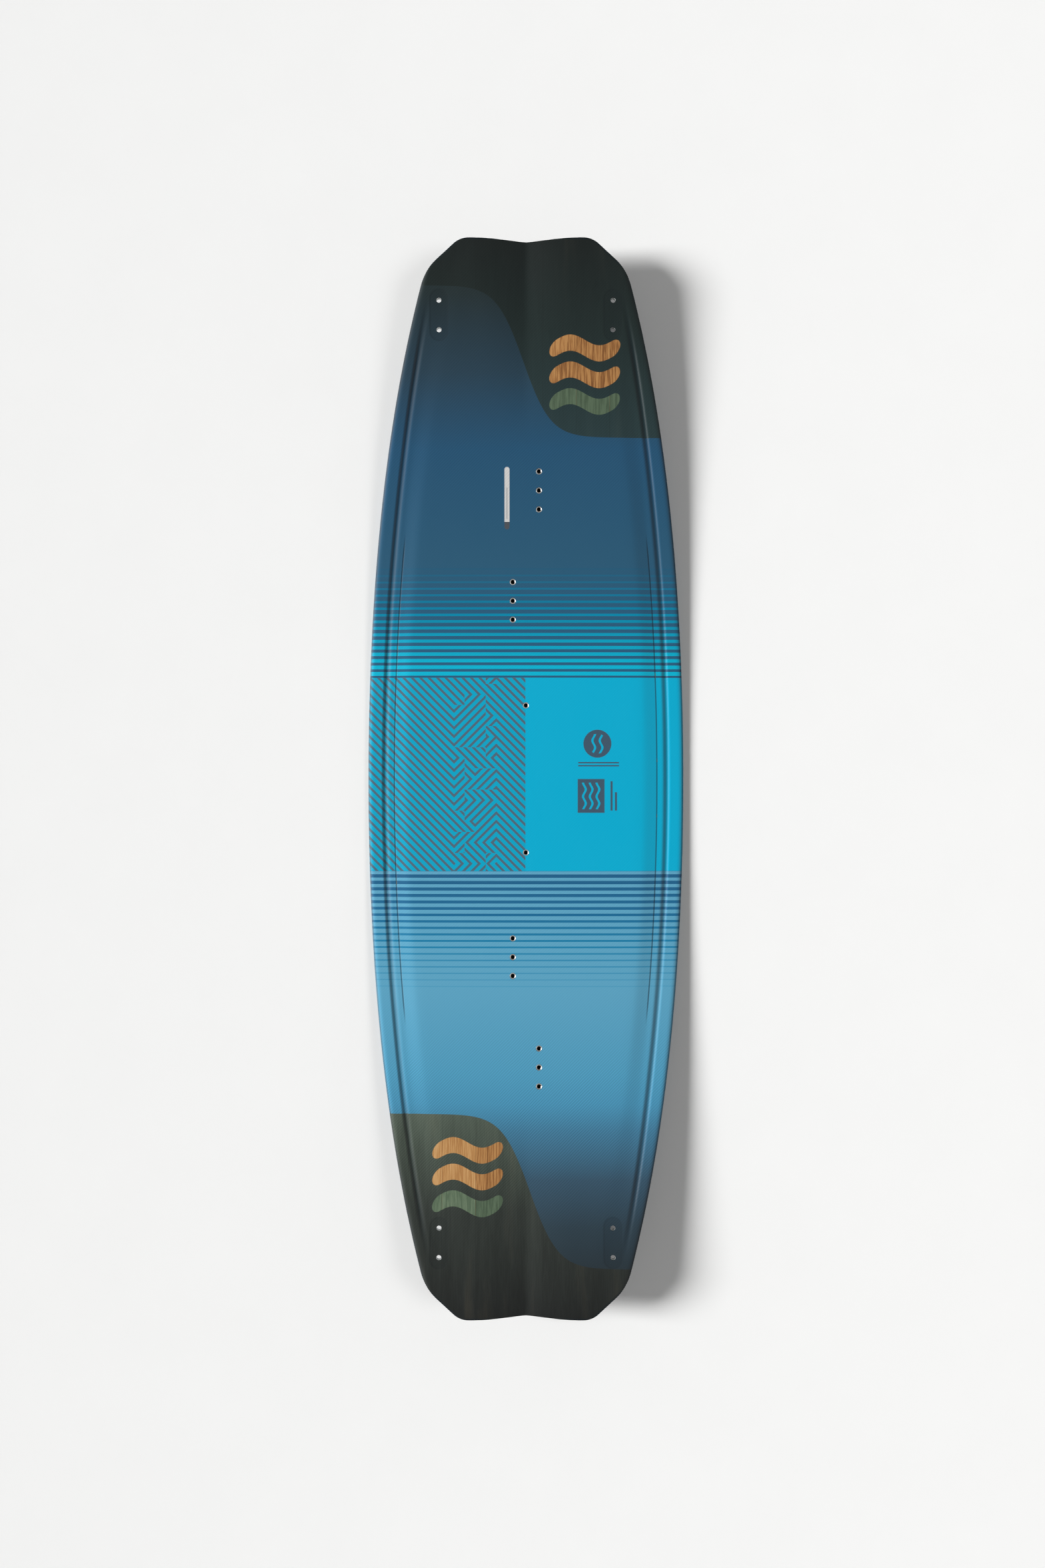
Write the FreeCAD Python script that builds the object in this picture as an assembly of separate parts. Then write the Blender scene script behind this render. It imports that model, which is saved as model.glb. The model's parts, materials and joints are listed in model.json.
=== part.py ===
# Twin-tip kiteboard: two skins over a strip core, with screw inserts and fin bushes.
# Millimetres. X runs along the board, Y across it, Z up through the deck.

import math
import os

import FreeCAD
import Part

os.makedirs("parts", exist_ok=True)

# Overall shape
length = 1440.0
width = 430.0
rocker_rise = 45.0
base_concave = 3.0

# Plan outline
side_width_at_tip = 244.7
late_taper = 0.257
corner_from_tip = 41.0
tip_edge_width = 176.0
side_corner_radius = 70.0
tip_corner_radius = 30.0
tip_dip_depth = 4.5
tip_dip_width = 144.0

# Thickness from base to deck
middle_thickness = 9.5
tip_thickness = 7.4
rail_thickness = 7.0
edge_drop = 1.6
edge_roll = 7.0
plateau_hold = 302.0
plateau_gone_from_tip = 115.0
concave_gone_from_tip = 108.0

# Layers
sheet_thickness = 0.6
laminate_thickness = 0.8
beam_thickness = 0.6
rail_width = 12.0
core_strip_count = 9

# Channel, crease and shoulder moulded along each side of the deck
channel_from_edge = 22.5
channel_half_width = 7.0
channel_depth = 1.6
channel_hold = 302.0
channel_drift = 4.2
channel_end_from_tip = 173.0
channel_gone_from_tip = 65.0
crease_from_edge = 34.0
crease_half_width = 2.0
crease_depth = 0.6
crease_hold = 302.0
crease_fade_length = 36.0
shoulder_foot = 31.0
shoulder_top = 58.0

# Shallow vee down the middle of each tip
vee_depth = 5.0
vee_half_width = 60.0
vee_round = 4.0
vee_start_from_tip = 288.0
vee_full_from_tip = 14.0

# Carbon tapes let into the top of the core
beam_inner = 40.0
beam_width = 45.0
beam_length = 1120.0

# Screw inserts for the foot bindings and the handle
insert_pitch = 25.4
outer_row_from_middle = 390.0
row_gap = 148.3
row_offset = 17.7
handle_spacing = 200.0
handle_plug_diameter = 30.0
insert_body_diameter = 8.4
insert_flange_diameter = 14.0
insert_flange_height = 1.2
insert_bore_diameter = 5.0
insert_end_wall = 0.9
insert_floor = 1.5
block_margin = 17.0
block_width = 30.0

# Fin holes
fin_hole_from_tip = 80.0
fin_hole_spacing = 38.1
fin_hole_from_centre = 116.5
fin_hole_diameter = 6.8
fin_bush_diameter = 11.0
fin_block_width = 24.0
fin_block_length = 66.0
fin_recess_depth = 0.3

# Sizes that follow from the ones above
half_length = length / 2
half_width = width / 2
skin = sheet_thickness + laminate_thickness
spare = 8.0
lowest = -100.0
tallest = 300.0
insert_height = middle_thickness - skin - insert_floor
core_strip_width = (width - 2 * rail_width) / core_strip_count
tip_narrowing = 1 - side_width_at_tip / width
inner_row_from_middle = outer_row_from_middle - row_gap
fin_outer = half_length - fin_hole_from_tip
fin_inner = fin_outer - fin_hole_spacing
fin_middle = (fin_outer + fin_inner) / 2


def ease(t):
    t = min(max(t, 0.0), 1.0)
    return t * t * (3 - 2 * t)


def fade(x, held_to, gone_at):
    return 1 - ease((abs(x) - held_to) / (gone_at - held_to))


def side_line(x):
    t = abs(x) / half_length
    bend = (1 - late_taper) * t ** 2 + late_taper * t ** 4
    return half_width * (1 - tip_narrowing * bend)


def vee(x, y):
    spread = (math.hypot(y, vee_round) - vee_round) / vee_half_width
    flat = fade(x, half_length - vee_start_from_tip, half_length - vee_full_from_tip)
    return vee_depth * (1 - flat) * max(0.0, 1 - spread) ** 2


def base_height(x, y):
    rocker = rocker_rise * (x / half_length) ** 2
    arch = 1 - (y / side_line(x)) ** 2
    concave = base_concave * arch * fade(x, 0.0, half_length - concave_gone_from_tip)
    return rocker + concave - vee(x, y)


def channel_line(x):
    run = (abs(x) - channel_hold) / (half_length - channel_end_from_tip - channel_hold)
    return channel_from_edge - channel_drift * max(0.0, run) ** 2


def thickness(x, y):
    inward = side_line(x) - abs(y)
    extra = middle_thickness - tip_thickness
    plateau = tip_thickness + extra * fade(x, plateau_hold, half_length - plateau_gone_from_tip)
    shoulder = ease((inward - shoulder_foot) / (shoulder_top - shoulder_foot))
    body = rail_thickness + (plateau - rail_thickness) * shoulder
    roll = edge_drop * max(0.0, 1 - inward / edge_roll) ** 2
    across = abs(inward - channel_line(x)) / channel_half_width
    channel_end = half_length - channel_end_from_tip
    channel_gone = half_length - channel_gone_from_tip
    channel = channel_depth * (1 - ease(across)) * fade(x, channel_end, channel_gone)
    notch = max(0.0, 1 - abs(inward - crease_from_edge) / crease_half_width)
    crease = crease_depth * notch * fade(x, crease_hold, crease_hold + crease_fade_length)
    return body - min(roll, edge_drop) - channel - crease


def deck_height(x, y):
    return base_height(x, y) + thickness(x, y)


def above_base(offset):
    return lambda x, y: base_height(x, y) + offset


def below_deck(offset):
    return lambda x, y: deck_height(x, y) - offset


# Where each cross-section is sampled: distances in from the edge, then shares of the rest
edge_steps = [-spare, 0.0, 1.5, 3.5, 5.5, 7.0, 9.5, 12.0]
channel_steps = [channel_from_edge + step for step in (-8.0, -6.0, -4.0, -2.0, 0.0, 2.0, 4.0, 6.0)]
crease_steps = [crease_from_edge + step * crease_half_width for step in (-2.0, -1.0, -0.5, 0.0, 0.5, 1.0)]
shoulder_steps = [shoulder_foot + (shoulder_top - shoulder_foot) * share for share in (0.4, 0.6, 0.8, 1.0)]
inner_shares = [0.93, 0.75, 0.55, 0.38, 0.24, 0.13, 0.07, 0.03, 0.0]
inward_steps = edge_steps + channel_steps + crease_steps + shoulder_steps
stations = [half_length * share / 14 for share in range(-14, 15)]
stations[0] -= spare
stations[-1] += spare


def section_widths(x):
    edge = side_line(x)
    outer = [edge - step for step in inward_steps]
    inner = [outer[-1] * share for share in inner_shares]
    left = outer + inner
    return left + [-y for y in reversed(left[:-1])]


def interpolated(points, parameters):
    curve = Part.BSplineCurve()
    curve.interpolate(Points=points, Parameters=parameters)
    return curve


def height_face(height):
    middle_widths = section_widths(0.0)
    across = [middle_widths[0] - y for y in middle_widths]
    along = [x - stations[0] for x in stations]
    rows = []
    for x in stations:
        points = [FreeCAD.Vector(x, y, height(x, y)) for y in section_widths(x)]
        rows.append(interpolated(points, across))
    columns = []
    for index in range(rows[0].NbPoles):
        columns.append(interpolated([row.getPole(index + 1) for row in rows], along))
    poles = [[column.getPole(index + 1) for column in columns] for index in range(columns[0].NbPoles)]
    surface = Part.BSplineSurface()
    surface.buildFromPolesMultsKnots(
        poles,
        columns[0].getMultiplicities(),
        rows[0].getMultiplicities(),
        columns[0].getKnots(),
        rows[0].getKnots(),
        False,
        False,
        3,
        3,
    )
    return surface


def slab(lower_height, upper_height):
    lower = height_face(lower_height)
    upper = height_face(upper_height)
    faces = [lower.toShape(), upper.toShape()]
    u_first, u_last, v_first, v_last = lower.bounds()
    for u in (u_first, u_last):
        faces.append(Part.makeRuledSurface(lower.uIso(u).toShape(), upper.uIso(u).toShape()))
    for v in (v_first, v_last):
        faces.append(Part.makeRuledSurface(lower.vIso(v).toShape(), upper.vIso(v).toShape()))
    shell = Part.makeShell(faces)
    shell.sewShape()
    solid = Part.makeSolid(shell)
    if solid.Volume < 0:
        solid.reverse()
    return solid


def outline_prism():
    corner_x = half_length - corner_from_tip
    corner_y = side_line(corner_x)
    tip_y = tip_edge_width / 2
    dip_y = tip_dip_width / 2
    up = FreeCAD.Vector(0, 1, 0)

    def side(sign):
        points = []
        for share in range(-8, 9):
            x = corner_x * share / 8
            points.append(FreeCAD.Vector(x, sign * side_line(x), lowest))
        curve = Part.BSplineCurve()
        curve.interpolate(points)
        return curve.toShape()

    def tip(sign):
        peak = sign * half_length
        middle = sign * (half_length - tip_dip_depth)
        shoulder = sign * (half_length - 0.42 * tip_dip_depth)
        dip = Part.BSplineCurve()
        dip.interpolate(
            Points=[
                FreeCAD.Vector(peak, -dip_y, lowest),
                FreeCAD.Vector(shoulder, -0.5 * dip_y, lowest),
                FreeCAD.Vector(middle, 0, lowest),
                FreeCAD.Vector(shoulder, 0.5 * dip_y, lowest),
                FreeCAD.Vector(peak, dip_y, lowest),
            ],
            InitialTangent=up,
            FinalTangent=up,
        )
        edges = [dip.toShape()]
        for flank in (-1, 1):
            inner_end = FreeCAD.Vector(peak, flank * dip_y, lowest)
            corner = FreeCAD.Vector(peak, flank * tip_y, lowest)
            side_end = FreeCAD.Vector(sign * corner_x, flank * corner_y, lowest)
            edges.append(Part.makeLine(inner_end, corner))
            edges.append(Part.makeLine(corner, side_end))
        return edges

    edges = [side(1), side(-1)] + tip(1) + tip(-1)
    wire = Part.Wire(Part.__sortEdges__(edges))
    prism = Part.Face(wire).extrude(FreeCAD.Vector(0, 0, tallest))

    def uprights(x, y):
        found = []
        for edge in prism.Edges:
            ends = [vertex.Point for vertex in edge.Vertexes]
            if len(ends) == 2 and abs(ends[0].z - ends[1].z) > 1:
                if abs(abs(ends[0].x) - x) < 0.1 and abs(abs(ends[0].y) - y) < 0.1:
                    found.append(edge)
        return found

    prism = prism.makeFillet(side_corner_radius, uprights(corner_x, corner_y))
    prism = prism.makeFillet(tip_corner_radius, uprights(half_length, tip_y))
    return prism


def plain_edge(edge):
    # A line or an arc is kept; any other curve becomes a spline that a STEP reader can rebuild
    if edge.Curve.TypeId in ("Part::GeomLine", "Part::GeomCircle"):
        return edge
    curve = Part.BSplineCurve()
    curve.interpolate(edge.discretize(Number=25))
    return curve.toShape()


def inset_prism(prism, inset):
    floor = min(prism.Faces, key=lambda face: face.CenterOfMass.z)
    shrunk = floor.makeOffset2D(-inset)
    edges = [plain_edge(edge) for edge in shrunk.OuterWire.Edges]
    wire = Part.Wire(Part.__sortEdges__(edges))
    return Part.Face(wire).extrude(FreeCAD.Vector(0, 0, tallest))


def box(x_low, x_high, y_low, y_high):
    corner = FreeCAD.Vector(x_low, y_low, lowest)
    return Part.makeBox(x_high - x_low, y_high - y_low, tallest, corner)


def rod(x, y, diameter, z_low=lowest, height=tallest):
    return Part.makeCylinder(diameter / 2, height, FreeCAD.Vector(x, y, z_low))


def pill(x, y, long, wide):
    reach = (long - wide) / 2
    bar = box(x - reach, x + reach, y - wide / 2, y + wide / 2)
    return bar.fuse([rod(x - reach, y, wide), rod(x + reach, y, wide)]).removeSplitter()


def insert_outer(x, y):
    foot = deck_height(x, y) - insert_height
    body = rod(x, y, insert_body_diameter, foot, insert_height + spare)
    return body.fuse(rod(x, y, insert_flange_diameter, foot, insert_flange_height)).removeSplitter()


def insert_bore(x, y):
    foot = deck_height(x, y) - insert_height + insert_end_wall
    return rod(x, y, insert_bore_diameter, foot, insert_height + spare)


# Each row of three inserts: its name, the middle insert, and the side it sits towards
insert_rows = {
    "front_outer": (outer_row_from_middle, -row_offset),
    "front_inner": (inner_row_from_middle, row_offset),
    "rear_inner": (-inner_row_from_middle, row_offset),
    "rear_outer": (-outer_row_from_middle, -row_offset),
}
handle_spots = [(handle_spacing / 2, 0.0), (-handle_spacing / 2, 0.0)]

fin_places = {
    "front_toe": (1, 1),
    "front_heel": (1, -1),
    "rear_toe": (-1, 1),
    "rear_heel": (-1, -1),
}


def row_spots(name):
    x, y = insert_rows[name]
    return [(x - insert_pitch, y), (x, y), (x + insert_pitch, y)]


def fin_spots(name):
    along, across = fin_places[name]
    return [(along * x, across * fin_hole_from_centre) for x in (fin_inner, fin_outer)]


print("outline and layers")
whole = outline_prism()
inside = inset_prism(whole, rail_width)

deck_sheet = slab(below_deck(sheet_thickness), below_deck(0.0)).common(whole)
deck_laminate = slab(below_deck(skin), below_deck(sheet_thickness)).common(whole)
core_slab = slab(above_base(skin), below_deck(skin))
base_laminate = slab(above_base(sheet_thickness), above_base(skin)).common(whole)
base_sheet = slab(above_base(0.0), above_base(sheet_thickness)).common(whole)
up_to_deck = slab(above_base(0.0), below_deck(0.0))

core = core_slab.common(inside)
rail_ring = core_slab.common(whole).cut(inside)

nodes = {}

print("blocks, inserts and bushes")
fillers = []
for name in insert_rows:
    x, y = insert_rows[name]
    block = pill(x, y, 2 * insert_pitch + 2 * block_margin, block_width).common(core)
    fillers.append(block)
    outers = [insert_outer(*spot) for spot in row_spots(name)]
    nodes[name + "_insert_block"] = block.cut(outers)
    deck_sheet = deck_sheet.cut(outers)
    deck_laminate = deck_laminate.cut(outers)
    metal = []
    for spot in row_spots(name):
        metal.append(insert_outer(*spot).cut(insert_bore(*spot)).common(up_to_deck))
    nodes[name + "_inserts"] = Part.makeCompound(metal)

plugs = []
metal = []
for spot in handle_spots:
    plug = rod(spot[0], spot[1], handle_plug_diameter).common(core)
    outer = insert_outer(*spot)
    fillers.append(plug)
    plugs.append(plug.cut(outer))
    deck_sheet = deck_sheet.cut(outer)
    deck_laminate = deck_laminate.cut(outer)
    metal.append(outer.cut(insert_bore(*spot)).common(up_to_deck))
nodes["handle_insert_plugs"] = Part.makeCompound(plugs)
nodes["handle_inserts"] = Part.makeCompound(metal)

recess_band = slab(below_deck(fin_recess_depth), below_deck(-spare))
for name in fin_places:
    along, across = fin_places[name]
    footprint = pill(along * fin_middle, across * fin_hole_from_centre, fin_block_length, fin_block_width)
    holes = [rod(x, y, fin_hole_diameter) for x, y in fin_spots(name)]
    bushes = [rod(x, y, fin_bush_diameter).common(core) for x, y in fin_spots(name)]
    block = footprint.common(core)
    fillers.append(block)
    nodes[name + "_fin_block"] = block.cut(bushes)
    nodes[name + "_fin_bushes"] = Part.makeCompound([bush.cut(holes) for bush in bushes])
    deck_sheet = deck_sheet.cut([recess_band.common(footprint)] + holes)
    deck_laminate = deck_laminate.cut(holes)
    base_laminate = base_laminate.cut(holes)
    base_sheet = base_sheet.cut(holes)

print("carbon tapes and core strips")
beam_band = slab(below_deck(skin + beam_thickness), below_deck(skin))
beam_half = beam_length / 2
for side, sign in (("toe", 1), ("heel", -1)):
    near = sign * beam_inner
    far = sign * (beam_inner + beam_width)
    beam = beam_band.common(box(-beam_half, beam_half, min(near, far), max(near, far)))
    nodes["carbon_beam_" + side + "_side"] = beam
    fillers.append(beam)

core = core.cut(fillers)
for index in range(core_strip_count):
    place = index - core_strip_count // 2
    low = (place - 0.5) * core_strip_width
    high = (place + 0.5) * core_strip_width
    if index == 0:
        low = -width
    if index == core_strip_count - 1:
        high = width
    strip = core.common(box(-length, length, low, high))
    if place == 0:
        nodes["core_strip_centre"] = strip
    elif place > 0:
        nodes["core_strip_toe_" + str(place)] = strip
    else:
        nodes["core_strip_heel_" + str(-place)] = strip

print("rails")
joint = half_length - 1.5 * corner_from_tip
nodes["front_tip_rail"] = rail_ring.common(box(joint, length, -width, width))
nodes["rear_tip_rail"] = rail_ring.common(box(-length, -joint, -width, width))
nodes["toe_side_rail"] = rail_ring.common(box(-joint, joint, 0, width))
nodes["heel_side_rail"] = rail_ring.common(box(-joint, joint, -width, 0))

nodes["deck_sheet"] = deck_sheet
nodes["deck_laminate"] = deck_laminate
nodes["base_laminate"] = base_laminate
nodes["base_sheet"] = base_sheet

# The lowest point of the base is set on the floor, at z = 0
floor = base_sheet.optimalBoundingBox().ZMin
for name in sorted(nodes):
    shape = nodes[name]
    shape.translate(FreeCAD.Vector(0, 0, -floor))
    solids = shape.Solids
    if len(solids) == 1:
        shape = solids[0]
    print(name, len(solids), round(shape.Volume / 1000, 2), shape.isValid())
    shape.exportStep("parts/" + name + ".step")
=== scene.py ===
import json
import math

import bpy
import numpy as np
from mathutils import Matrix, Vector


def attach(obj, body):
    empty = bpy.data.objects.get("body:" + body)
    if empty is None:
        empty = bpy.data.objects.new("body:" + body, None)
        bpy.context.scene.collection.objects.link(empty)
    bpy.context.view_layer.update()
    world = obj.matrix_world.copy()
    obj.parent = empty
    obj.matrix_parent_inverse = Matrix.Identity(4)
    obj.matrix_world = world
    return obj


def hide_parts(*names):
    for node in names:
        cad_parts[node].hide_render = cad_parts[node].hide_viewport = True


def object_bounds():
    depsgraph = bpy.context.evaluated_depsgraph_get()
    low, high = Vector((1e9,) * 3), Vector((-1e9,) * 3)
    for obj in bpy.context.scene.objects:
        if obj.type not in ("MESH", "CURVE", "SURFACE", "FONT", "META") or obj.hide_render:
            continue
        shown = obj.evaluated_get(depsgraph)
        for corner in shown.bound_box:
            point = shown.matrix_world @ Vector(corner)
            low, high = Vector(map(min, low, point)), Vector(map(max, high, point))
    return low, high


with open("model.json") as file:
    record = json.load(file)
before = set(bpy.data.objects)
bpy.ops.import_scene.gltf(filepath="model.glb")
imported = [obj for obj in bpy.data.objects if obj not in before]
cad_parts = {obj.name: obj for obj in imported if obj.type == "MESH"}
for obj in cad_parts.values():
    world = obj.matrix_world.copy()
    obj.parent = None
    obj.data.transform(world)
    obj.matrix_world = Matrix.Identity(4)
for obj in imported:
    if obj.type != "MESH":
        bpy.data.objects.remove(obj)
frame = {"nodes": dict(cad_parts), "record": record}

cadLow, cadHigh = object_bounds()
print("frame loaded")

mm = 0.001

# The moulded shape of the board, in millimetres
board = {
    "halfLength": cadHigh.x / mm,
    "halfWidth": 214.97,
    "sideWidthAtTip": 244.7,
    "lateTaper": 0.257,
    "rockerRise": 45.0,
    "baseConcave": 3.0,
    "concaveGone": 612.0,
    "middleThickness": 9.5,
    "tipThickness": 7.4,
    "railThickness": 7.0,
    "plateau": (302.0, 605.0),
    "edgeDrop": 1.6,
    "edgeRoll": 7.0,
    "shoulder": (31.0, 58.0),
    "channelLine": 22.5,
    "channelOuterWall": (0.2, 4.4),
    "channelInnerWall": (0.2, 6.6),
    "channelDepth": 1.6,
    "channelDrift": 4.2,
    "channelRun": 245.0,
    "channelFade": (547.0, 655.0),
    "creaseLine": 36.0,
    "creaseHalfWidth": 1.3,
    "creaseDepth": 0.32,
    "creaseFade": (302.0, 338.0),
    "veeDepth": 5.0,
    "veeHalfWidth": 60.0,
    "veeRound": 4.0,
    "veeFade": (432.0, 706.0),
    "cornerFromTip": 41.0,
    "tipEdge": 88.0,
    "sideCornerRadius": 70.0,
    "tipCornerRadius": 30.0,
    "cornerRun": 22.0,
    "bendStart": 632.0,
    "dipStart": 640.0,
    "dipDepth": 4.5,
    "dipHalfWidth": 72.0,
    "dipSoft": 6.0,
    "sheet": 0.6,
    "rimDrop": 0.42,
    "rimWidth": 3.4,
}


def ease(t):
    t = np.clip(t, 0.0, 1.0)
    return t * t * (3 - 2 * t)


def fade(x, ends):
    return 1 - ease((np.abs(x) - ends[0]) / (ends[1] - ends[0]))


def sideLine(x):
    t = np.abs(x) / board["halfLength"]
    bend = (1 - board["lateTaper"]) * t ** 2 + board["lateTaper"] * t ** 4
    return board["halfWidth"] - (board["halfWidth"] - board["sideWidthAtTip"] / 2) * bend


def baseHeight(x, y):
    spread = (np.hypot(y, board["veeRound"]) - board["veeRound"]) / board["veeHalfWidth"]
    vee = board["veeDepth"] * (1 - fade(x, board["veeFade"])) * np.clip(1 - spread, 0, 1) ** 2
    arch = 1 - (y / sideLine(x)) ** 2
    concave = board["baseConcave"] * arch * fade(x, (0.0, board["concaveGone"]))
    return board["rockerRise"] * (x / board["halfLength"]) ** 2 + concave - vee


def deckHeight(x, y):
    inward = sideLine(x) - np.abs(y)
    foot, top = board["shoulder"]
    gain = board["middleThickness"] - board["tipThickness"]
    plateau = board["tipThickness"] + gain * fade(x, board["plateau"])
    body = board["railThickness"] + (plateau - board["railThickness"]) * ease((inward - foot) / (top - foot))
    roll = board["edgeDrop"] * np.clip(1 - inward / board["edgeRoll"], 0, 1) ** 2
    length = board["channelRun"]
    run = np.clip((np.abs(x) - board["channelFade"][0] + length) / length, 0, None)
    line = board["channelLine"] - board["channelDrift"] * run ** 2
    past = inward - line
    walls = np.where(past < 0, fade(past, board["channelOuterWall"]), fade(past, board["channelInnerWall"]))
    channel = board["channelDepth"] * walls * fade(x, board["channelFade"])
    notch = np.clip(1 - np.abs(inward - board["creaseLine"]) / board["creaseHalfWidth"], 0, 1)
    crease = board["creaseDepth"] * ease(notch) * fade(x, board["creaseFade"])
    return baseHeight(x, y) + body - roll - channel - crease


def tipDip(y):
    soft = board["dipSoft"]
    spread = (np.hypot(y, soft) - soft) / (math.hypot(board["dipHalfWidth"], soft) - soft)
    return board["dipDepth"] * np.clip(1 - spread, 0, 1) ** 1.25


def roundedCorner(corner, back, ahead, radius, steps):
    back = back / np.linalg.norm(back)
    ahead = ahead / np.linalg.norm(ahead)
    half = math.acos(float(np.dot(back, ahead))) / 2
    middle = corner + (back + ahead) / np.linalg.norm(back + ahead) * radius / math.sin(half)
    first = corner + back * radius / math.tan(half) - middle
    last = corner + ahead * radius / math.tan(half) - middle
    points = []
    for t in np.linspace(0, 1, steps):
        turn = first * (1 - t) + last * t
        points.append(middle + turn / np.linalg.norm(turn) * radius)
    return points


def outlineRows():
    # One quarter of the outline, from the widest point to where the tip edge runs straight across
    cornerX = board["halfLength"] - board["cornerFromTip"]
    corner = np.array([cornerX, float(sideLine(cornerX))])
    behindX = cornerX - board["cornerRun"]
    behind = np.array([behindX, float(sideLine(behindX))])
    tip = np.array([board["halfLength"], board["tipEdge"]])
    points = [np.array([x, float(sideLine(x))]) for x in np.linspace(0, behindX - 1.0, 220)]
    points += roundedCorner(corner, behind - corner, tip - corner, board["sideCornerRadius"], 24)
    points += roundedCorner(tip, corner - tip, np.array([0.0, -1.0]), board["tipCornerRadius"], 24)
    points = np.array(points)
    run = np.concatenate([[0.0], np.cumsum(np.linalg.norm(np.diff(points, axis=0), axis=1))])
    bendStart = np.interp(board["bendStart"], points[:, 0], run)
    stops = np.concatenate([np.linspace(0, bendStart, 100), np.linspace(bendStart, run[-1], 46)[1:]])
    x = np.interp(stops, run, points[:, 0])
    w = np.interp(stops, run, points[:, 1])
    return np.concatenate([-x[::-1], x[1:]]), np.concatenate([w[::-1], w[1:]])


# Columns of the skin: close together at the rim, channel and crease, wide apart in the middle
skin = {
    "inward": [
        0, 0.7, 1.5, 2.5, 3.8, 5.3, 7, 9, 11, 12.5, 13.6, 14.7, 15.7, 16.7, 17.6, 18.5, 19.4, 20.3,
        21.2, 22.1, 22.9, 23.8, 24.7, 25.6, 26.5, 27.5, 29, 31, 33,
        34.3, 34.9, 35.3, 35.65, 36, 36.35, 36.7, 37.1, 37.8, 42, 45, 48, 51, 54, 58,
    ],
    "shares": [0.93, 0.85, 0.77, 0.69, 0.61, 0.53, 0.45, 0.375, 0.305, 0.24, 0.18, 0.13, 0.085, 0.045, 0.015],
}


def mouldedSkin(name, lower, upper):
    # A flat grid is extruded to a slab, then laid between two heights over the board's outline
    rowX, rowW = outlineRows()
    half = list(skin["inward"]) + list(skin["shares"])
    rows, columns = len(rowX) - 1, 2 * len(half) - 1
    bpy.ops.object.select_all(action="DESELECT")
    bpy.ops.mesh.primitive_grid_add(x_subdivisions=rows, y_subdivisions=columns, size=2)
    piece = bpy.context.object
    piece.name = name
    bpy.ops.object.mode_set(mode="EDIT")
    bpy.ops.mesh.select_all(action="SELECT")
    bpy.ops.mesh.extrude_region_move(TRANSFORM_OT_translate={"value": (0, 0, 1)})
    bpy.ops.mesh.select_all(action="SELECT")
    bpy.ops.mesh.normals_make_consistent(inside=False)
    bpy.ops.object.mode_set(mode="OBJECT")

    at = np.zeros(len(piece.data.vertices) * 3, np.float64)
    piece.data.vertices.foreach_get("co", at)
    at = at.reshape(-1, 3)
    row = np.rint((at[:, 0] + 1) / 2 * rows).astype(int)
    column = np.rint((at[:, 1] + 1) / 2 * columns).astype(int)
    x = rowX[row]
    w = rowW[row]
    edge = sideLine(x)
    last = edge - skin["inward"][-1]
    y = np.zeros(len(at))
    for k, step in enumerate(half):
        out = edge - step if k < len(skin["inward"]) else last * step
        y = np.where(column == k, -out, y)
        y = np.where(column == columns - k, out, y)
    y = y * w / edge
    tipRun = board["halfLength"] - board["dipStart"]
    x = x - np.sign(x) * tipDip(y) * ease((np.abs(x) - board["dipStart"]) / tipRun)
    # A hair is added to each row's place, so that no two are the same
    slope = np.abs(np.gradient(rowW, rowX + np.arange(len(rowX)) * 1e-6))[row]
    toSide = (w - np.abs(y)) / np.sqrt(1 + slope ** 2)
    toTip = board["halfLength"] - tipDip(y) - np.abs(x)
    rim = board["rimDrop"] * np.clip(1 - np.minimum(toSide, toTip) / board["rimWidth"], 0, 1) ** 2
    z = np.where(at[:, 2] > 0.5, upper(x, y, rim), lower(x, y, rim))
    piece.data.vertices.foreach_set("co", (np.column_stack([x, y, z]) * mm).ravel())
    piece.data.update()
    return piece


holes = {
    "outerRow": 390.0,
    "innerRow": 241.7,
    "pitch": 25.4,
    "rowOffset": 17.7,
    "handle": 100.0,
    "fins": [(601.9, 116.5), (640.0, 116.5)],
    "finDiameter": 6.8,
    "recessReach": 21.0,
    "recessRadius": 12.0,
    "insertDiameter": 8.6,
    "drillLength": 40.0,
    "drillSides": 40,
}


def insertSpots():
    spots = {}
    for name, along, across in (
        ("front_outer", 1, -1), ("front_inner", 1, 1), ("rear_inner", -1, 1), ("rear_outer", -1, -1),
    ):
        middle = holes["outerRow"] if "outer" in name else holes["innerRow"]
        spots[name] = [
            (along * middle + step * holes["pitch"], across * holes["rowOffset"]) for step in (-1, 0, 1)
        ]
    spots["handle"] = [(holes["handle"], 0.0), (-holes["handle"], 0.0)]
    return spots


def finSpots():
    return [(sx * x, sy * y) for x, y in holes["fins"] for sx in (1, -1) for sy in (1, -1)]


def drill(piece, spots, diameter):
    # All the drills are one object, and one cut
    bpy.ops.object.select_all(action="DESELECT")
    drills = []
    for x, y in spots:
        z = float(deckHeight(np.float64(x), np.float64(y)))
        bpy.ops.mesh.primitive_cylinder_add(
            vertices=holes["drillSides"],
            radius=diameter / 2 * mm,
            depth=holes["drillLength"] * mm,
            location=(x * mm, y * mm, z * mm),
        )
        drills.append(bpy.context.object)
    bpy.ops.object.select_all(action="DESELECT")
    for one in drills:
        one.select_set(True)
    bpy.context.view_layer.objects.active = drills[0]
    bpy.ops.object.join()
    cutter = bpy.context.object
    bpy.ops.object.select_all(action="DESELECT")
    piece.select_set(True)
    bpy.context.view_layer.objects.active = piece
    cut = piece.modifiers.new("drill", "BOOLEAN")
    cut.operation = "DIFFERENCE"
    cut.solver = "EXACT"
    cut.object = cutter
    bpy.ops.object.modifier_apply(modifier="drill")
    bpy.data.objects.remove(cutter)


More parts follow.
